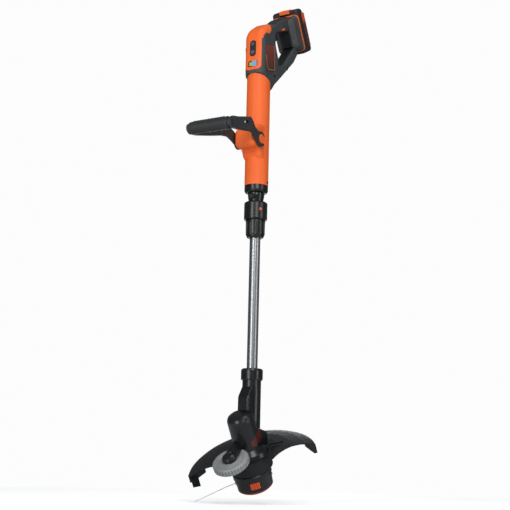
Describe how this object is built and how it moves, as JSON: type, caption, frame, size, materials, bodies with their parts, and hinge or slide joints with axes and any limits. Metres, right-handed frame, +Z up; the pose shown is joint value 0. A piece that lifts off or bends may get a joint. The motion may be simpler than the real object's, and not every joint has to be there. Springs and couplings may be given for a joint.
{
  "type": "string trimmer",
  "caption": "Cordless string trimmer and edger with a telescoping, swivelling shaft, bail handle, rear grip with slide-on battery, guard and edging wheel.",
  "frame": {"origin": "on the shaft's axis, at the flat shoulder under the upper housing, where a forked wall hook carries the tool", "axes": "+Z up the shaft to the rear handle, +X away from the user, +Y to the user's left"},
  "size_m": [0.4353, 0.2758, 1.2398],
  "materials": {
    "handle_plastic": "fine moulded texture",
    "orange_plastic": "satin moulded",
    "black_plastic": "satin moulded",
    "battery_plastic": "fine moulded texture",
    "button_black": "soft satin",
    "slider_blue": "polished",
    "label_film": "printed film",
    "red_plastic": "satin moulded",
    "tube_metal": "drawn and clear anodised",
    "grip_rubber": "moulded ribs",
    "wheel_plastic": "moulded",
    "inner_plastic": "as moulded",
    "lead_jacket": "smooth",
    "steel": "zinc plated",
    "bronze": "sintered",
    "cell_wrap": "heat-shrunk film",
    "line_nylon": "extruded, translucent"
  },
  "bodies": {
    "handle": {"handle_shell_left": "handle_plastic", "handle_shell_right": "handle_plastic", "front_panel": "orange_plastic", "foot_trim": "orange_plastic", "side_labels": "label_film", "handle_screws": "steel", "upper_housing_left": "orange_plastic", "upper_housing_right": "orange_plastic", "housing_end_cap": "black_plastic", "swivel_bush": "inner_plastic", "control_board": "inner_plastic", "trigger_switch": "inner_plastic", "trigger_spring": "steel", "terminal_block": "inner_plastic", "aux_pivot_bolt": "steel"},
    "battery": {"battery_cover": "battery_plastic", "battery_case": "battery_plastic", "battery_cells": "cell_wrap", "battery_screws": "steel"},
    "battery_latch": {"battery_latch": "orange_plastic"},
    "trigger": {"trigger": "button_black"},
    "lock_off_button": {"lock_off_button": "orange_plastic"},
    "feed_button": {"feed_button": "button_black"},
    "speed_slider": {"speed_slider": "slider_blue"},
    "aux_handle": {"aux_handle_frame": "handle_plastic", "aux_grip": "grip_rubber"},
    "aux_lock_button": {"aux_lock_button": "orange_plastic"},
    "swivel": {"neck_sleeve": "black_plastic", "guide_tube": "inner_plastic", "clamp_body": "black_plastic", "clamp_collet": "inner_plastic"},
    "swivel_button": {"swivel_button": "button_black"},
    "clamp_nut": {"clamp_nut": "black_plastic"},
    "lower_shaft": {"lower_tube": "tube_metal", "coiled_lead": "lead_jacket", "head_cap_ring": "black_plastic", "head_housing_left": "black_plastic", "head_housing_right": "black_plastic", "motor_cover": "black_plastic", "side_inserts": "red_plastic", "head_screws": "steel", "motor_can": "steel", "gear_plate": "steel", "spindle_bush": "bronze", "guard": "black_plastic", "line_cutter": "steel", "wheel_arm": "black_plastic", "wheel_axle": "steel"},
    "edge_wheel": {"edge_wheel": "wheel_plastic"},
    "motor_rotor": {"motor_rotor": "steel"},
    "spool_head": {"spindle": "steel", "spool_housing": "black_plastic", "spool": "inner_plastic", "line_winding": "line_nylon", "spool_spring": "steel", "spool_cap": "black_plastic", "line_eyelets": "steel", "cutting_line": "line_nylon"},
    "cap_tab_front": {"cap_tab_front": "orange_plastic"},
    "cap_tab_rear": {"cap_tab_rear": "orange_plastic"}
  },
  "joints": [
    {"name": "battery_slide", "type": "slide", "parent": "handle", "child": "battery", "axis": [0.5, 0, 0.866], "range_m": [0, 0.11]},
    {"name": "battery_latch_press", "type": "slide", "parent": "battery", "child": "battery_latch", "axis": [-0.5, 0, -0.866], "range_m": [0, 0.003], "stiffness_N_per_m": 500, "springref_m": -0.002},
    {"name": "trigger_pull", "type": "hinge", "parent": "handle", "child": "trigger", "pos_m": [-0.046, 0, 0.428], "axis": [0, 1, 0], "range_deg": [0, 14], "stiffness_Nm_per_rad": 0.6, "springref_deg": -8.59, "deforming": ["trigger_spring"]},
    {"name": "lock_off_push", "type": "slide", "parent": "handle", "child": "lock_off_button", "axis": [0, 1, 0], "range_m": [-0.0025, 0.0025], "stiffness_N_per_m": 300},
    {"name": "feed_press", "type": "slide", "parent": "handle", "child": "feed_button", "axis": [-1, 0, 0], "range_m": [0, 0.003], "stiffness_N_per_m": 500, "springref_m": -0.001},
    {"name": "speed_slide", "type": "slide", "parent": "handle", "child": "speed_slider", "axis": [0, 1, 0], "range_m": [-0.009, 0.0015]},
    {"name": "aux_handle_tilt", "type": "hinge", "parent": "handle", "child": "aux_handle", "pos_m": [0.038, 0, 0.121], "axis": [0, 1, 0], "range_deg": [-45, 60]},
    {"name": "aux_lock_press", "type": "slide", "parent": "aux_handle", "child": "aux_lock_button", "axis": [0, -1, 0], "range_m": [0, 0.002], "stiffness_N_per_m": 600, "springref_m": -0.001},
    {"name": "swivel_turn", "type": "hinge", "parent": "handle", "child": "swivel", "pos_m": [0, 0, 0], "axis": [0, 0, 1], "range_deg": [0, 180]},
    {"name": "swivel_button_press", "type": "slide", "parent": "swivel", "child": "swivel_button", "axis": [-1, 0, 0], "range_m": [0, 0.0018], "stiffness_N_per_m": 500, "springref_m": -0.001},
    {"name": "clamp_twist", "type": "hinge", "parent": "swivel", "child": "clamp_nut", "pos_m": [0, 0, 0], "axis": [0, 0, 1], "range_deg": [0, 120]},
    {"name": "telescope_slide", "type": "slide", "parent": "swivel", "child": "lower_shaft", "axis": [0, 0, 1], "range_m": [0, 0.15], "deforming": ["coiled_lead"]},
    {"name": "spool_spin", "type": "hinge", "parent": "lower_shaft", "child": "spool_head", "pos_m": [-0.00769, 0, -0.64264], "axis": [0.515, 0, 0.8572], "continuous": true},
    {"name": "motor_spin", "type": "hinge", "parent": "lower_shaft", "child": "motor_rotor", "pos_m": [0.0246, 0, -0.56871], "axis": [0.515, 0, 0.8572], "continuous": true},
    {"name": "wheel_spin", "type": "hinge", "parent": "lower_shaft", "child": "edge_wheel", "pos_m": [0.08236, 0, -0.62792], "axis": [0.6293, 0, 0.7771], "continuous": true},
    {"name": "front_tab_press", "type": "slide", "parent": "spool_head", "child": "cap_tab_front", "axis": [-0.7269, -0.5299, 0.4368], "range_m": [0, 0.002], "stiffness_N_per_m": 500, "springref_m": -0.001},
    {"name": "rear_tab_press", "type": "slide", "parent": "spool_head", "child": "cap_tab_rear", "axis": [0.7269, 0.5299, -0.4368], "range_m": [0, 0.002], "stiffness_N_per_m": 500, "springref_m": -0.001}
  ],
  "couplings": [
    {"joint": "motor_spin", "follows": "spool_spin", "ratio": -1.6}
  ]
}
